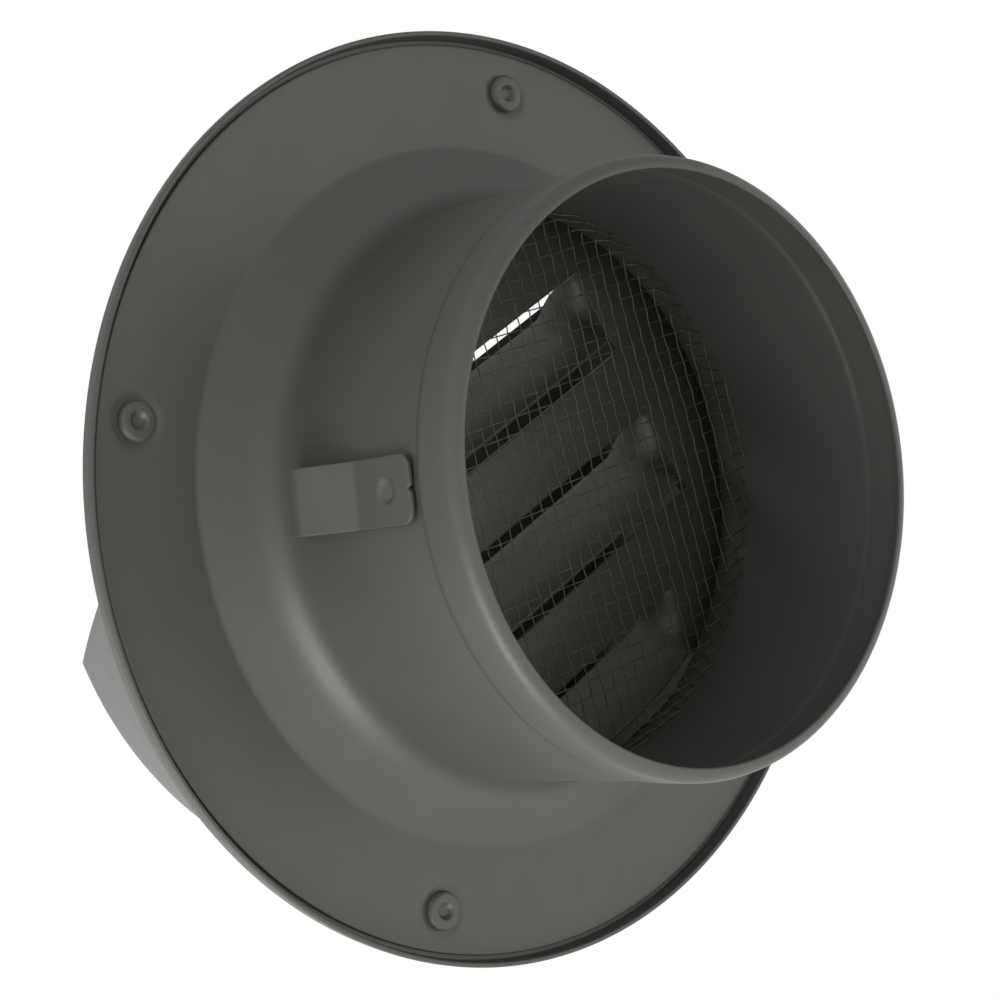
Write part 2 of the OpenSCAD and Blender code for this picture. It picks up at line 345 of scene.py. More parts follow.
def make_piece(name, points, faces, material, sharp=32):
    """A finished object from points in millimetres."""
    mesh = bpy.data.meshes.new(name)
    mesh.from_pydata((np.asarray(points) * MM).tolist(), [], faces)
    tidy(mesh, sharp)
    mesh.materials.append(material)
    piece = bpy.data.objects.new(name, mesh)
    bpy.context.scene.collection.objects.link(piece)
    return piece


def spin(outline, angles, closed=True):
    """Points and faces of an outline of (radius, depth) points spun round the duct axis."""
    ring, turn = np.array(outline), np.radians(angles)
    r, y = np.maximum(ring[:, 0], 0), ring[:, 1]
    points = np.stack((np.outer(np.sin(turn), r), np.tile(y, (len(turn), 1)), np.outer(np.cos(turn), r)), -1)
    rows, n = len(turn), len(ring)
    faces = [(i * n + k, i * n + (k + 1) % n, (i + 1) % rows * n + (k + 1) % n, (i + 1) % rows * n + k)
             for i in range(rows) for k in range(n if closed else n - 1)]
    return points.reshape(-1, 3), faces


def ease(t):
    """A smooth step from 0 to 1."""
    t = np.clip(t, 0, 1)
    return t * t * (3 - 2 * t)


def triangles(piece):
    return sum(len(face.vertices) - 2 for face in piece.data.polygons)


print("a full turn in even steps of 1.5 degrees has", len(np.arange(0, 360, 1.5)), "columns")

# %% [markdown]
# ## The rear body: flange and spigot
#
# The rear body is one pressed sheet: a flat flange, a conical step, and the spigot that slips
# into the duct. Near its end the spigot swells by 0.3 mm, which centres it in the duct, and
# its nose is rolled in. It is a solid of revolution, so its outline is spun.
# Where each rivet was clenched, the flange is pressed in by a quarter of a millimetre.
# We press the finished points, on the rear face only, by their distance from the rivets.

# %% Rear body
STEP_R = 60.0
STEP_SLOPE = math.tan(math.radians(25))
BAND_Y = 40.4
MOUTH_R = 46.8
RIVET_ANGLES = [48, 142, 229, 315]
RIVET_RING = 71.2
RIVET_SEAT_R = 4.15
RIVET_SEAT = 0.25
RIVET_CENTRES = [(RIVET_RING * math.sin(math.radians(a)), RIVET_RING * math.cos(math.radians(a))) for a in RIVET_ANGLES]


def rivet_distance(points):
    """How far each point lies from the nearest rivet's axis."""
    return np.min([np.hypot(points[:, 0] - x, points[:, 2] - z) for x, z in RIVET_CENTRES], axis=0)


def columns(coarse, fine, reach):
    """Angles for a spin: coarse steps, and fine ones within reach of each rivet."""
    out, a = [], 0.0
    while a < 360 - fine / 2:
        out.append(a)
        near = min(abs(a - b) for b in RIVET_ANGLES)
        a += fine if near <= reach else min(coarse, max(fine, near - reach))
    return out


def rear_body():
    path = bent_path([
        (FLANGE_R, FLANGE_BACK, 0),
        (STEP_R, FLANGE_BACK, 3),
        (WAIST_R, (STEP_R - WAIST_R) * STEP_SLOPE + FLANGE_BACK, 8),
        (WAIST_R, BAND_Y - 1, 2),
        (SPIGOT_R, BAND_Y, 2),
        (SPIGOT_R, SPIGOT_END, 2.2),
        (MOUTH_R, SPIGOT_END, 0),
    ])
    path = refined(path, lambda r: 0.5 if r > RIVET_RING - 6 else 3.0)
    points, faces = spin(sheet_outline(path, SHEET), columns(1.4, 0.4, 4.8))
    gap = rivet_distance(points)
    behind = ease((points[:, 1] - SEAM) / SHEET)
    press = RIVET_SEAT * (1 - ease((gap - RIVET_SEAT_R + 0.35) / 0.55)) + 0.05 * (1 - ease((gap - 4.2) / 1.6))
    points[:, 1] -= press * behind * (gap < 6.5)
    return make_piece("rear_body_sheet", points, faces, paint)


rear = rear_body()
print(rear.name, "has", triangles(rear), "triangles")

# %% [markdown]
# ## The front plate and its four openings
#
# The front plate closes the cap behind the hood, and its skirt is turned back to the wall. Four
# strips are lanced out of it and twisted. The skirt is spun like the rear body. The flat
# part needs four long openings, so we fill it between a ring and the openings' outlines, front
# and back, and join the two faces with a wall that has softened edges. That keeps the flat
# part truly flat, which a boolean cut through a spun disc wouldn't.

# %% Front plate
LOUVRE_PITCH = 29.1
LOUVRE_RISE = 0.8
LOUVRE_HEIGHT = 16.6
LOUVRES = [(26.0, -1.5), (40.0, -0.5), (40.0, 0.5), (26.0, 1.5)]
PLATE_FLAT_R = 66.0


def opening_loop(reach, z, grow, depth):
    """One outline of an opening, grown by a little, at a depth."""
    x, h, step = reach + grow, LOUVRE_HEIGHT / 2 + grow, 2.0
    across, up = np.arange(-x, x - step / 2, 2 * x / round(2 * x / step)), np.arange(-h, h - 0.5, h / 3)
    loop = [(a, -h) for a in across] + [(x, b) for b in up] + [(-a, h) for a in across] + [(-x, -b) for b in up]
    return [(a, depth, z + b) for a, b in loop]


def flat_with_openings(work, rings):
    """Fills a flat face between an outer ring and the openings' rings of points."""
    edges = [work.edges.new((ring[i - 1], ring[i])) if not work.edges.get((ring[i - 1], ring[i])) else
             work.edges.get((ring[i - 1], ring[i])) for ring in rings for i in range(len(ring))]
    bmesh.ops.triangle_fill(work, use_beauty=True, use_dissolve=False, edges=edges)


def louvre_plate():
    path = bent_path([
        (RIM_R, 0, 0),
        (RIM_R, -1, 4),
        (RIM_R - 0.4, PLATE_FRONT, 1),
        (PLATE_FLAT_R, PLATE_FRONT, 0),
    ])
    path = refined(path, lambda r: 2.0 if r < RIM_R - 2 else 0.6)
    skirt = sheet_outline(path, -SHEET, (True, False))
    turn = np.arange(0, 360, 1.25)
    # The outline starts at the skirt's edge, so its open ends are the flat part's two radii
    split = next(i for i, p in enumerate(skirt) if p[0] == PLATE_FLAT_R)
    skirt = skirt[split + 1:] + skirt[:split + 1]
    points, faces = spin(skirt, turn, closed=False)
    work = bmesh.new()
    verts = [work.verts.new(p * MM) for p in points]
    for face in faces:
        work.faces.new([verts[k] for k in face])
    n = len(skirt)
    rings = {"back": [[verts[i * n] for i in range(len(turn))]],
             "front": [[verts[i * n + n - 1] for i in range(len(turn))]]}
    # Walls of the openings, from the front face's soft edge to the back face's
    soft = [EDGE_SOFT * (1 - math.sin(t)) for t in np.linspace(0, math.pi / 2, EDGE_STEPS + 1)]
    down = [EDGE_SOFT * (1 - math.cos(t)) for t in np.linspace(0, math.pi / 2, EDGE_STEPS + 1)]
    levels = [(g, PLATE_FRONT + d) for g, d in zip(soft, down)]
    levels += [(g, SEAM - d) for g, d in zip(soft[::-1], down[::-1])]
    for reach, place in LOUVRES:
        z = LOUVRE_RISE + place * LOUVRE_PITCH
        loops = [[work.verts.new(Vector(p) * MM) for p in opening_loop(reach, z, g, y)] for g, y in levels]
        for a, b in zip(loops, loops[1:]):
            for i in range(len(a)):
                work.faces.new((a[i - 1], a[i], b[i], b[i - 1]))
        rings["front"].append(loops[0])
        rings["back"].append(loops[-1])
    flat_with_openings(work, rings["front"])
    flat_with_openings(work, rings["back"])
    mesh = bpy.data.meshes.new("louvre_plate_sheet")
    work.to_mesh(mesh)
    work.free()
    tidy(mesh)
    mesh.materials.append(paint)
    piece = bpy.data.objects.new("louvre_plate_sheet", mesh)
    bpy.context.scene.collection.objects.link(piece)
    return piece


plate = louvre_plate()
print(plate.name, "has", triangles(plate), "triangles")

# %% [markdown]
# ## Running a Geometry Nodes tree
#
# Things that repeat or follow a rule are grown by node trees: the twisted blades, the woven
# screen, and the rings of rivets and clips. One function makes a tree with named inputs. Another
# runs a tree on an empty object with its own values for those inputs and keeps the
# result as a plain mesh, with no modifier left on it.

# %% Tree helpers
SOCKETS = {float: "NodeSocketFloat", int: "NodeSocketInt", bpy.types.Object: "NodeSocketObject",
           bpy.types.Material: "NodeSocketMaterial"}


def new_tree(name, **defaults):
    """A tree with a named input for each default, which may be a value or a socket's type."""
    tree = bpy.data.node_groups.new(name, "GeometryNodeTree")
    tree.interface.new_socket("Geometry", in_out="OUTPUT", socket_type="NodeSocketGeometry")
    for label, value in defaults.items():
        kind = value if isinstance(value, type) else type(value)
        socket = tree.interface.new_socket(label, in_out="INPUT", socket_type=SOCKETS[kind])
        if kind in (float, int):
            socket.default_value = value
    return tree, add(tree, "NodeGroupInput").outputs


def keep_result(tree, geometry, material):
    """Ends a tree: real geometry, in its material."""
    real = add(tree, "GeometryNodeRealizeInstances", {"Geometry": geometry})
    dressed = add(tree, "GeometryNodeSetMaterial", {"Geometry": real, "Material": material})
    add(tree, "NodeGroupOutput", {"Geometry": dressed})


def grow(name, tree, values, finish=(), sharp=32):
    """Runs a tree with these values, then other modifiers, and keeps the result as a plain mesh."""
    piece = bpy.data.objects.new(name, bpy.data.meshes.new(name))
    bpy.context.scene.collection.objects.link(piece)
    grower = piece.modifiers.new("grow", "NODES")
    grower.node_group = tree
    for item in tree.interface.items_tree:
        if item.in_out == "INPUT" and item.name in values:
            grower[item.identifier] = values[item.name]
    for kind, settings in finish:
        step = piece.modifiers.new(kind.lower(), kind)
        for label, value in settings.items():
            setattr(step, label, value)
    graph = bpy.context.evaluated_depsgraph_get()
    mesh = bpy.data.meshes.new_from_object(piece.evaluated_get(graph), depsgraph=graph)
    piece.modifiers.clear()
    piece.data = tidy(mesh, sharp)
    mesh.name = name
    return piece


print("sockets for", len(SOCKETS), "kinds of input")

# %% [markdown]
# ## The louvre blades
#
# Each blade is a strip that was lanced out of the plate and turned about its own centre line,
# lower edge outwards. At both ends it is still one with the plate, so it twists there over a few
# millimetres. This is a rule in one variable, the distance from the strip's end, so a tree suits
# it: a flat grid, an angle that eases from nothing to 65 degrees, and a turn by that angle. The
# top strip's inner edge is trimmed where the flange's conical step would touch it. A
# thickness and a small bevel make it sheet metal.

# %% Blade tree
BLADE_TURN = math.radians(65)
BLADE_TWIST = 7.0
BLADE_T = 0.7
BLADE_H = LOUVRE_HEIGHT - 0.6
BLADE_ROOT = 0.5
CONE_SLOPE = 1.57
CONE_R = STEP_R - 2.4 - CONE_SLOPE * SHEET / 2


def blade_tree():
    tree, given = new_tree("twisted_blade", Reach=0.04, Height=0.016, Turn=1.0, Twist=0.007, Rise=0.0,
                           Material=bpy.types.Material)
    calc = "ShaderNodeMath"
    long = add(tree, calc, {0: given["Reach"], 1: BLADE_ROOT * MM}, operation="ADD")
    whole = add(tree, calc, {0: long, 1: 2.0}, operation="MULTIPLY")
    strip = add(tree, "GeometryNodeMeshGrid", {
        "Size X": whole, "Size Y": given["Height"], "Vertices X": 181, "Vertices Y": 9})
    spot = add(tree, "ShaderNodeSeparateXYZ", {0: add(tree, "GeometryNodeInputPosition")})
    x, v = spot.outputs["X"], spot.outputs["Y"]
    # The angle eases in from the strip's end
    side = add(tree, calc, {0: x}, operation="ABSOLUTE")
    turned_at = add(tree, calc, {0: given["Reach"], 1: given["Twist"]}, operation="SUBTRACT")
    angle = add(tree, "ShaderNodeMapRange", {
        "Value": side, "From Min": given["Reach"], "From Max": turned_at, "To Max": given["Turn"]},
        interpolation_type="SMOOTHSTEP")
    sine = add(tree, calc, {0: angle}, operation="SINE")
    cosine = add(tree, calc, {0: angle}, operation="COSINE")
    # Where the inner edge meets a cone just inside the flange's step: the smaller root
    b = add(tree, calc, {0: sine, 1: CONE_SLOPE}, operation="MULTIPLY")
    b2 = add(tree, calc, {0: b, 1: b}, operation="MULTIPLY")
    c2 = add(tree, calc, {0: cosine, 1: cosine}, operation="MULTIPLY")
    square = add(tree, calc, {0: b2, 1: c2}, operation="SUBTRACT")
    zc = add(tree, calc, {0: given["Rise"], 1: cosine}, operation="MULTIPLY")
    half = add(tree, calc, {0: b, 1: CONE_R * MM, 2: zc}, operation="MULTIPLY_ADD")
    half2 = add(tree, calc, {0: half, 1: half}, operation="MULTIPLY")
    x2 = add(tree, calc, {0: x, 1: x}, operation="MULTIPLY")
    away2 = add(tree, calc, {0: given["Rise"], 1: given["Rise"], 2: x2}, operation="MULTIPLY_ADD")
    room2 = add(tree, calc, {0: (CONE_R * MM) ** 2, 1: away2}, operation="SUBTRACT")
    under = add(tree, calc, {0: square, 1: room2}, operation="MULTIPLY")
    inside = add(tree, calc, {0: half2, 1: under}, operation="SUBTRACT")
    root = add(tree, calc, {0: inside}, operation="SQRT")
    over = add(tree, calc, {0: half, 1: root}, operation="SUBTRACT")
    edge = add(tree, calc, {0: over, 1: square}, operation="DIVIDE")
    full = add(tree, calc, {0: given["Height"], 1: 0.5}, operation="MULTIPLY")
    top = add(tree, calc, {0: edge, 1: full}, operation="MINIMUM")
    # Spread the strip's rows between its lower edge and the trimmed upper one
    low = add(tree, calc, {0: full, 1: -1.0}, operation="MULTIPLY")
    h = add(tree, "ShaderNodeMapRange", {"Value": v, "From Min": low, "From Max": full, "To Min": low, "To Max": top},
            clamp=False)
    y = add(tree, calc, {0: h, 1: sine}, operation="MULTIPLY")
    z = add(tree, calc, {0: h, 1: cosine}, operation="MULTIPLY")
    place = add(tree, "ShaderNodeCombineXYZ", {"X": x, "Y": y, "Z": z})
    middle = (PLATE_FRONT + SHEET / 2) * MM
    shift = add(tree, "ShaderNodeCombineXYZ", {"Y": middle, "Z": given["Rise"]})
    where = add(tree, "ShaderNodeVectorMath", {0: place, 1: shift}, operation="ADD")
    twisted = add(tree, "GeometryNodeSetPosition", {"Geometry": strip, "Position": where})
    keep_result(tree, twisted, given["Material"])
    return tree


blade_rule = blade_tree()
THICK = ("SOLIDIFY", {"thickness": BLADE_T * MM, "offset": 0.0})
ROUNDED = ("BEVEL", {"width": 0.16 * MM, "segments": 2, "limit_method": "ANGLE", "angle_limit": math.radians(50)})
blades = [grow(f"louvre_blade_{i + 1}", blade_rule, {
    "Reach": reach * MM, "Height": BLADE_H * MM, "Turn": BLADE_TURN, "Twist": BLADE_TWIST * MM,
    "Rise": (LOUVRE_RISE + place * LOUVRE_PITCH) * MM, "Material": paint}, (THICK, ROUNDED))
    for i, (reach, place) in enumerate(LOUVRES)]
print([(blade.name, triangles(blade)) for blade in blades])

# %% [markdown]
# ## The hood
#
# The hood is a deep drawn bowl with a drafted wall, a rounded front and a slight crown, and a slanted
# plane cuts away its lower part to leave the mouth and its brim. We spin the bowl, cut it with
# that plane, and close the cut sheet's edge.

# %% Hood
HOOD_DEPTH = 42.0
HOOD_FOOT_R = HOOD_LIP_R - 1.4
HOOD_DRAFT = math.tan(math.radians(18.3))
HOOD_CORNER = 6.0
HOOD_CROWN = 1.6
BRIM_DROP = 30.6
BRIM_RAKE = math.radians(27)


def hood():
    wall = bent_path([
        (HOOD_LIP_R, HOOD_FOOT, 0),
        (HOOD_FOOT_R, HOOD_FOOT, 1),
        (HOOD_FOOT_R - (HOOD_DEPTH + HOOD_FOOT) * HOOD_DRAFT, -HOOD_DEPTH, HOOD_CORNER),
        (0, -HOOD_DEPTH, 0),
    ])[:-1]
    flat = wall[-1][0]
    crown = [np.array((r, -HOOD_DEPTH - HOOD_CROWN * (1 - (r / flat) ** 2) ** 2)) for r in np.linspace(flat, 0, 20)[1:]]
    path = refined(wall + crown, lambda r: 3.0)
    points, faces = spin(sheet_outline(path, -SHEET, (True, False)), np.arange(0, 360, 1.25))
    work = bmesh.new()
    verts = [work.verts.new(p * MM) for p in points]
    for face in faces:
        work.faces.new([verts[k] for k in face])
    bmesh.ops.remove_doubles(work, verts=work.verts, dist=0.01 * MM)
    cut = bmesh.ops.bisect_plane(
        work, geom=work.verts[:] + work.edges[:] + work.faces[:], dist=0.01 * MM,
        plane_co=Vector((0, 0, -BRIM_DROP)) * MM,
        plane_no=Vector((0, -math.sin(BRIM_RAKE), -math.cos(BRIM_RAKE))), clear_outer=True)
    edges = [e for e in cut["geom_cut"] if isinstance(e, bmesh.types.BMEdge)]
    bmesh.ops.triangle_fill(work, use_beauty=True, use_dissolve=False, edges=edges)
    mesh = bpy.data.meshes.new("hood_shell")
    work.to_mesh(mesh)
    work.free()
    tidy(mesh)
    mesh.materials.append(paint)
    piece = bpy.data.objects.new("hood_shell", mesh)
    bpy.context.scene.collection.objects.link(piece)
    return piece


hood_shell = hood()
print(hood_shell.name, "has", triangles(hood_shell), "triangles")

# %% [markdown]
# ## The insect screen
#
# The screen is a plain weave of thin wire, dished so that its edge turns up along the
# spigot's wall. The tree draws the weave flat and then bends it. One set of straight lines is
# instanced side by side, its points are cut to a disc, and each point rises and falls with the
# product of two sines, which is positive for one set of wires and negative for the other, so the sets
# pass over and under each other. Beyond the bend, a point's distance from the middle becomes its
# height up the wall. A little noise keeps the mesh from looking printed.

# %% Weave tree
WIRE_PITCH = 2.75
WIRE_D = 0.24
WEAVE_TURN = math.radians(16.5)
SCREEN_LEVEL = SCREEN_DEPTH + 0.45
SCREEN_BEND = 1.2
SCREEN_WALL_R = BORE_R - 0.3


def weave_tree():
    tree, given = new_tree("dished_weave", Wall=0.0478, Edge=0.0055, Bend=0.0012, Pitch=0.00275, Wire=0.00024,
                           Turn=0.288, Level=0.0074, Seed=7, Material=bpy.types.Material)
    calc = "ShaderNodeMath"
    vector = "ShaderNodeVectorMath"
    flat_r = add(tree, calc, {0: given["Wall"], 1: given["Bend"]}, operation="SUBTRACT")
    reach = add(tree, calc, {0: flat_r, 1: given["Edge"]}, operation="ADD")
    # One set of lines, side by side at the pitch
    count = add(tree, calc, {0: reach, 1: given["Pitch"]}, operation="DIVIDE")
    count = add(tree, calc, {0: count}, operation="CEIL")
    wires = add(tree, calc, {0: count, 1: 2.0}, operation="MULTIPLY")
    back = add(tree, calc, {0: count, 1: -1.0, 2: 0.5}, operation="MULTIPLY_ADD")
    first = add(tree, calc, {0: back, 1: given["Pitch"]}, operation="MULTIPLY")
    left = add(tree, calc, {0: reach, 1: -1.0}, operation="MULTIPLY")
    line = add(tree, "GeometryNodeCurvePrimitiveLine", {
        "Start": add(tree, "ShaderNodeCombineXYZ", {"X": left}), "End": add(tree, "ShaderNodeCombineXYZ", {"X": reach})})
    span = add(tree, calc, {0: given["Pitch"], 1: 4.0}, operation="DIVIDE")
    fine = add(tree, "GeometryNodeResampleCurve", {"Curve": line, "Length": span}, mode="LENGTH")
    starts = add(tree, "GeometryNodeMeshLine", {
        "Count": wires, "Start Location": add(tree, "ShaderNodeCombineXYZ", {"Z": first}),
        "Offset": add(tree, "ShaderNodeCombineXYZ", {"Z": given["Pitch"]})})
    copies = add(tree, "GeometryNodeInstanceOnPoints", {"Points": starts, "Instance": fine})
    lines = add(tree, "GeometryNodeRealizeInstances", {"Geometry": copies})
    # Points past the disc's edge go
    spot = add(tree, "GeometryNodeInputPosition")
    far = add(tree, vector, {0: spot}, operation="LENGTH").outputs["Value"]
    outside = add(tree, "FunctionNodeCompare", {0: far, 1: reach}, data_type="FLOAT", operation="GREATER_THAN")
    disc = add(tree, "GeometryNodeDeleteGeometry", {"Geometry": lines, "Selection": outside}, domain="POINT")
    # A crimp that follows both sets of wires
    crest = add(tree, calc, {0: math.pi, 1: given["Pitch"]}, operation="DIVIDE")
    phase = add(tree, vector, {0: spot, "Scale": crest}, operation="SCALE")
    waves = add(tree, "ShaderNodeSeparateXYZ", {0: phase})
    sine_x = add(tree, calc, {0: waves.outputs["X"]}, operation="SINE")
    sine_z = add(tree, calc, {0: waves.outputs["Z"]}, operation="SINE")
    weave = add(tree, calc, {0: sine_x, 1: sine_z}, operation="MULTIPLY")
    lift = add(tree, calc, {0: given["Wire"], 1: 0.52}, operation="MULTIPLY")
    crimp = add(tree, calc, {0: weave, 1: lift}, operation="MULTIPLY")
    over = add(tree, "GeometryNodeStoreNamedAttribute", {"Geometry": disc, "Name": "crimp", "Value": crimp},
               data_type="FLOAT", domain="POINT")
    down = add(tree, calc, {0: crimp, 1: -1.0}, operation="MULTIPLY")
    under = add(tree, "GeometryNodeStoreNamedAttribute", {"Geometry": disc, "Name": "crimp", "Value": down},
                data_type="FLOAT", domain="POINT")
    # The second set is the first one turned by a quarter
    crossed = add(tree, "GeometryNodeTransform", {"Geometry": under, "Rotation": (0.0, math.pi / 2, 0.0)})
    both = add(tree, "GeometryNodeJoinGeometry")
    tree.links.new(over.outputs[0], both.inputs[0])
    tree.links.new(crossed.outputs[0], both.inputs[0])
    # Slightly uneven wires
    seeded = add(tree, "ShaderNodeTexNoise", {"Vector": spot, "W": given["Seed"], "Scale": 34.0, "Detail": 1.0},
                 noise_dimensions="4D")
    centred = add(tree, vector, {0: seeded.outputs["Color"], 1: (0.5, 0.5, 0.5)}, operation="SUBTRACT")
    sway = add(tree, vector, {0: centred, 1: (0.0014, 0.0008, 0.0014)}, operation="MULTIPLY")
    loose = add(tree, "GeometryNodeSetPosition", {"Geometry": both, "Offset": sway})
    # The dish: past the flat part, distance from the middle becomes an arc and then height
    now = add(tree, "GeometryNodeInputPosition")
    flat_xz = add(tree, vector, {0: now, 1: (1.0, 0.0, 1.0)}, operation="MULTIPLY")
    along = add(tree, vector, {0: flat_xz}, operation="LENGTH").outputs["Value"]
    outward = add(tree, vector, {0: flat_xz}, operation="NORMALIZE")
    past = add(tree, calc, {0: along, 1: flat_r}, operation="SUBTRACT")
    past = add(tree, calc, {0: past, 1: 0.0}, operation="MAXIMUM")
    bend = add(tree, calc, {0: past, 1: given["Bend"]}, operation="DIVIDE")
    bend = add(tree, calc, {0: bend, 1: math.pi / 2}, operation="MINIMUM")
    sine = add(tree, calc, {0: bend}, operation="SINE")
    cosine = add(tree, calc, {0: bend}, operation="COSINE")
    used = add(tree, calc, {0: bend, 1: given["Bend"]}, operation="MULTIPLY")
    rest = add(tree, calc, {0: past, 1: used}, operation="SUBTRACT")
    within = add(tree, calc, {0: along, 1: flat_r}, operation="MINIMUM")
    radius = add(tree, calc, {0: sine, 1: given["Bend"], 2: within}, operation="MULTIPLY_ADD")
    curl = add(tree, calc, {0: 1.0, 1: cosine}, operation="SUBTRACT")
    height = add(tree, calc, {0: curl, 1: given["Bend"], 2: rest}, operation="MULTIPLY_ADD")
    # The crimp stands off the dished surface, along its normal
    stored = add(tree, "GeometryNodeInputNamedAttribute", {"Name": "crimp"}, data_type="FLOAT").outputs["Attribute"]
    inward = add(tree, calc, {0: stored, 1: sine}, operation="MULTIPLY")
    radius = add(tree, calc, {0: radius, 1: inward}, operation="SUBTRACT")
    raised = add(tree, calc, {0: stored, 1: cosine, 2: height}, operation="MULTIPLY_ADD")
    sag = add(tree, "ShaderNodeSeparateXYZ", {0: now}).outputs["Y"]
    raised = add(tree, calc, {0: raised, 1: sag}, operation="ADD")
    raised = add(tree, calc, {0: raised, 1: given["Level"]}, operation="ADD")
    ring = add(tree, vector, {0: outward, "Scale": radius}, operation="SCALE")
    place = add(tree, vector, {0: ring, 1: add(tree, "ShaderNodeCombineXYZ", {"Y": raised})}, operation="ADD")
    dished = add(tree, "GeometryNodeSetPosition", {"Geometry": loose, "Position": place})
    turned = add(tree, "GeometryNodeTransform", {
        "Geometry": dished, "Rotation": add(tree, "ShaderNodeCombineXYZ", {"Y": given["Turn"]})})
    # Round wire along every line
    thin = add(tree, calc, {0: given["Wire"], 1: 0.5}, operation="MULTIPLY")
    section = add(tree, "GeometryNodeCurvePrimitiveCircle", {"Resolution": 5, "Radius": thin})
    tubes = add(tree, "GeometryNodeCurveToMesh", {"Curve": turned, "Profile Curve": section, "Fill Caps": True})
    keep_result(tree, tubes, given["Material"])
    return tree


screen = grow("insect_screen_weave", weave_tree(), {
    "Wall": SCREEN_WALL_R * MM, "Edge": (SCREEN_TOP - SCREEN_LEVEL) * MM, "Bend": SCREEN_BEND * MM,
    "Pitch": WIRE_PITCH * MM, "Wire": WIRE_D * MM, "Turn": -WEAVE_TURN, "Level": SCREEN_LEVEL * MM,
    "Seed": 7, "Material": wire_metal}, sharp=80)
print(screen.name, "has", triangles(screen), "triangles")

# %% [markdown]
# ## Rivets and clips in their rings
#
# Four rivets hold the flange to the plate, and three spring clips stand on the spigot. Each kind
# is one shape at several places of a ring. We make the shape once, at the top of the ring, and a
# small tree stands a copy at the angle that it is given. Every copy is its own piece, because
# each one is a separate part in the CAD model.

# %% Ring tree
def ring_tree():
    tree, given = new_tree("ring_copy", Shape=bpy.types.Object, Angle=0.0, Uneven=0.0, Seed=0,
                           Material=bpy.types.Material)
    shape = add(tree, "GeometryNodeObjectInfo", {"Object": given["Shape"]})
    # A faint dent here and there, different on each copy
    spot = add(tree, "GeometryNodeInputPosition")
    seeded = add(tree, "ShaderNodeTexNoise", {"Vector": spot, "W": given["Seed"], "Scale": 240.0, "Detail": 1.0},
                 noise_dimensions="4D")
    centred = add(tree, "ShaderNodeVectorMath", {0: seeded.outputs["Color"], 1: (0.5, 0.5, 0.5)}, operation="SUBTRACT")
    dents = add(tree, "ShaderNodeVectorMath", {0: centred, "Scale": given["Uneven"]}, operation="SCALE")
    marked = add(tree, "GeometryNodeSetPosition", {"Geometry": shape.outputs["Geometry"], "Offset": dents})
    middle = add(tree, "GeometryNodePoints", {"Count": 1})
    copy = add(tree, "GeometryNodeInstanceOnPoints", {
        "Points": middle, "Instance": marked,
        "Rotation": add(tree, "FunctionNodeEulerToRotation", {
            "Euler": add(tree, "ShaderNodeCombineXYZ", {"Y": given["Angle"]})})})
    keep_result(tree, copy, given["Material"])
    return tree


ring_rule = ring_tree()
print("tree", ring_rule.name, "with", len(ring_rule.nodes), "nodes")

# %% [markdown]
# ## The rivets
#
# A tubular rivet's tail is clenched into a rounded ring with a pit in its middle, which shows on the flange,
# and its plain head sits on the front of the plate, inside the hood. It is a spun outline too,
# round the rivet's own axis.

# %% Rivets
RIVET_R = 3.35


def rivet_shape():
    back = FLANGE_BACK - RIVET_SEAT
    outline = bent_path([
        (0, back + 0.2, 0),
        (0.9, back + 0.2, 0.3),
        (1.55, back + 1.0, 0.35),
        (RIVET_R - 0.15, back + 1.0, 0.75),
        (RIVET_R, back, 0),
        (2.0, back, 0),
        (2.0, PLATE_FRONT, 0),
        (RIVET_R, PLATE_FRONT, 0),
        (RIVET_R, PLATE_FRONT - 0.9, 0.6),
        (0, PLATE_FRONT - 1.1, 0),
    ], 5)
    points, faces = spin(outline, np.arange(0, 360, 6), closed=False)
    points[:, 2] += RIVET_RING
    shape = make_piece("rivet_shape", points, faces, paint)
    bpy.context.scene.collection.objects.unlink(shape)
    return shape


one_rivet = rivet_shape()
rivets = [grow(f"clenched_rivet_{i + 1}", ring_rule, {
    "Shape": one_rivet, "Angle": math.radians(a), "Uneven": 0.00012, "Seed": i, "Material": paint})
    for i, a in enumerate(RIVET_ANGLES)]
print([(rivet.name, triangles(rivet)) for rivet in rivets])

# %% [markdown]
# ## The spring clips
#
# Each clip is a strip of sheet bent into a hump that springs against the duct, with a long tab
# that is clinched to the spigot through a crescent dimple. Its outline, with rounded corners, a small
# notch and a nib, is flat and simple, and so is its bent profile. So we draw the flat
# outline, cut it into a fine grid, lift each point to the profile's height at its depth, press the
# dimple, and give it thickness and soft edges.

# %% Clip shape
CLIP_W = 10.4
CLIP_T = 0.6
CLIP_START, CLIP_CREST, CLIP_FOLD, CLIP_END = 9.8, 13.0, 25.5, 39.0
CLIP_REST = WAIST_R + CLIP_T
CLINCH_Y = 33.0
CLIP_ANGLES = [1.2, 121.2, 241.2]


def closed_ring(corners, steps):
    """A closed outline through corners given as (x, y, bend radius)."""
    points = [np.array(c[:2], float) for c in corners]
    out = []
    for i, c in enumerate(corners):
        after = points[(i + 1) % len(points)]
        out += [points[i]] if c[2] == 0 else round_bend(points[i - 1], points[i], after, c[2], steps)
    return out


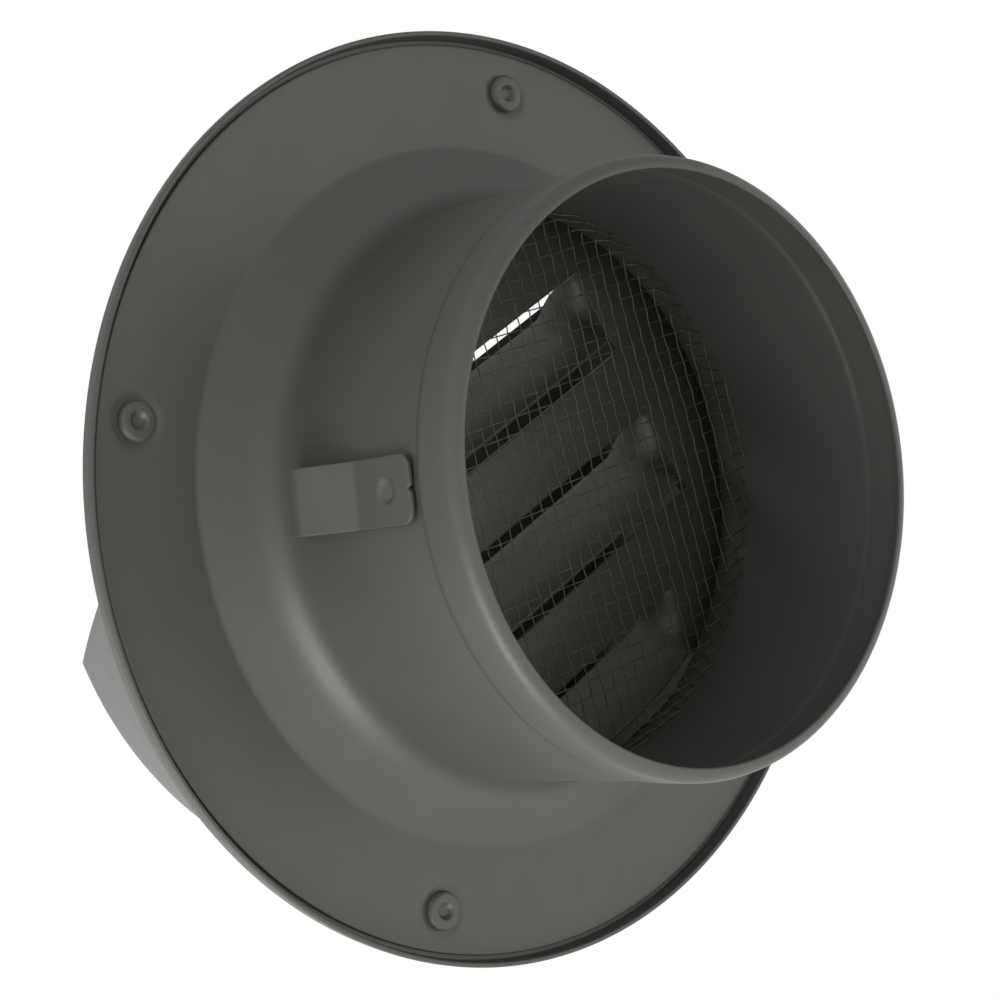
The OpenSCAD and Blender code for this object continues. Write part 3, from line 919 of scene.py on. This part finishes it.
def clip_shape():
    half, nib, nib_w, notch = CLIP_W / 2, 1.4, 2.4, 0.6
    outline = closed_ring([
        (-half, CLIP_START, 0.5), (-half, CLIP_END, 2.2), (-notch, CLIP_END, 0.2), (0, CLIP_END - notch, 0.1),
        (notch, CLIP_END, 0.2), (half, CLIP_END, 2.2), (half, CLIP_START, 0.5), (nib_w / 2, CLIP_START, 0.3),
        (0, CLIP_START - nib, 0.2), (-nib_w / 2, CLIP_START, 0.3)], 5)
    profile = np.array(bent_path([
        (CLIP_START - nib, CLIP_REST + 1.1, 0), (CLIP_START, CLIP_REST + 0.1, 0.4), (CLIP_CREST, WAIST_R + 5.4, 4),
        (CLIP_FOLD, CLIP_REST + 0.4, 0.7), (CLIP_END, CLIP_REST + 0.5, 0)], 8))
    work = bmesh.new()
    work.faces.new([work.verts.new((p[0], p[1], 0)) for p in outline])
    # A fine grid, so that the flat shape can bend
    for normal, values in (((0, 1, 0), np.arange(CLIP_START - 1.2, CLIP_END, 0.4)), ((1, 0, 0), np.arange(-4.8, 5, 0.4))):
        for value in values:
            bmesh.ops.bisect_plane(work, geom=work.verts[:] + work.edges[:] + work.faces[:], dist=0.001,
                                   plane_co=Vector(normal) * value, plane_no=normal)
    for v in work.verts:
        x, y = v.co.x, v.co.y
        height = float(np.interp(y, profile[:, 0], profile[:, 1]))
        # The crescent dimple: a ring that is deeper on its far side
        gap = math.hypot(x, y - CLINCH_Y)
        press = float(ease((2.1 - gap) / 0.7) * (0.35 + 0.25 * ease((y - CLINCH_Y + 1.5) / 3)))
        v.co = Vector((x, y, height - press - CLIP_T / 2)) * MM
    mesh = bpy.data.meshes.new("clip_shape")
    work.to_mesh(mesh)
    work.free()
    tidy(mesh, 60)
    shape = bpy.data.objects.new("clip_shape", mesh)
    mesh.materials.append(paint)
    return shape


one_clip = clip_shape()
THICK_CLIP = ("SOLIDIFY", {"thickness": CLIP_T * MM, "offset": 0.0})
clips = [grow(f"spring_clip_{name}", ring_rule, {
    "Shape": one_clip, "Angle": math.radians(a), "Uneven": 0.0, "Seed": 11 + i, "Material": paint},
    (THICK_CLIP, ROUNDED)) for i, (name, a) in enumerate(zip(("top", "right", "left"), CLIP_ANGLES))]
print([(clip.name, triangles(clip)) for clip in clips])

# %% [markdown]
# ## Which piece stands for which solid
#
# Every piece rides on the one body and stands in for a CAD node,
# which is hidden.

# %% Rides and hidden nodes
def stands_for(piece, slot, *nodes):
    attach(piece, "root")
    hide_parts(*nodes)


stands_for(rear, "paint", "rear_body")
stands_for(hood_shell, "paint", "hood")
stands_for(screen, "screen_wire", "insect_screen")
for piece in [plate] + blades:
    stands_for(piece, "paint", "louvre_plate")
for i, rivet in enumerate(rivets):
    stands_for(rivet, "paint", f"rivet_{i + 1}")
for clip, name in zip(clips, ("top", "right", "left")):
    stands_for(clip, "paint", f"clip_{name}")
bpy.data.objects.remove(one_rivet)
bpy.data.objects.remove(one_clip)
print("pieces dressed:", 3 + 1 + len(blades) + len(rivets) + len(clips))

# %% [markdown]
# ## Floor, lamps and background
#
# A plain pale floor lies below the cap, out of the photograph's frame. Three soft area lamps stand where
# the photograph's light comes from, given by the camera's own left, up and back. The world
# is white to the camera and in reflections, and only a plain fill for everything else.

# %% Studio
FLOOR_Z = -0.17


def floor():
    work = bmesh.new()
    bmesh.ops.create_grid(work, x_segments=4, y_segments=4, size=3.0)
    bmesh.ops.translate(work, verts=work.verts, vec=(0, 0, FLOOR_Z))
    mesh = bpy.data.meshes.new("studio_floor")
    work.to_mesh(mesh)
    work.free()
    material = bpy.data.materials.new("matte_white_floor")
    material.use_nodes = True
    tree = material.node_tree
    tree.nodes.clear()
    place = add(tree, "ShaderNodeTexCoord").outputs["Object"]
    paper = add(tree, "ShaderNodeTexNoise", {"Vector": place, "Scale": 6.0, "Detail": 3.0})
    tone = add(tree, "ShaderNodeMix", {"Factor": paper, 6: colour("#f2f2f1"), 7: colour("#f8f8f8")}, data_type="RGBA")
    shader = add(tree, "ShaderNodeBsdfPrincipled", {"Base Color": tone.outputs[2], "Roughness": 0.9})
    add(tree, "ShaderNodeOutputMaterial", {"Surface": shader})
    mesh.materials.append(material)
    stage = bpy.data.objects.new("studio_floor", mesh)
    bpy.context.scene.collection.objects.link(stage)
    return stage


def lamp(name, right, up, back, size, watts):
    """A soft square lamp, placed from the middle of the rim along the camera's axes, in metres."""
    data = bpy.data.lights.new(name, "AREA")
    data.shape, data.size, data.energy = "SQUARE", size, watts
    item = bpy.data.objects.new(name, data)
    where = camera.matrix_world.to_3x3() @ Vector((right, up, back))
    item.rotation_euler = where.to_track_quat("Z", "Y").to_euler()
    item.location = where
    bpy.context.scene.collection.objects.link(item)


def world():
    world = bpy.data.worlds.new("studio")
    world.use_nodes = True
    tree = world.node_tree
    tree.nodes.clear()
    rays = add(tree, "ShaderNodeLightPath").outputs
    seen = add(tree, "ShaderNodeMath", {0: rays["Is Camera Ray"], 1: rays["Is Glossy Ray"]}, operation="MAXIMUM")
    seen = add(tree, "ShaderNodeMath", {0: seen, 1: rays["Is Transmission Ray"]}, operation="MAXIMUM")
    strength = add(tree, "ShaderNodeMapRange", {"Value": seen, "To Min": WORLD_FILL, "To Max": 1.0})
    sky = add(tree, "ShaderNodeBackground", {"Color": colour("#ffffff"), "Strength": strength})
    add(tree, "ShaderNodeOutputWorld", {"Surface": sky})
    bpy.context.scene.world = world


WORLD_FILL = 0.35
world()
ground = floor()
lamp("lamp_left", -0.9, 0.1, 0.35, 0.8, 9)
lamp("lamp_low", -0.3, -0.8, 0.6, 0.7, 4)
lamp("lamp_front", 0.1, 0.5, 1.1, 0.8, 3)
bpy.context.scene.view_settings.view_transform = "Standard"
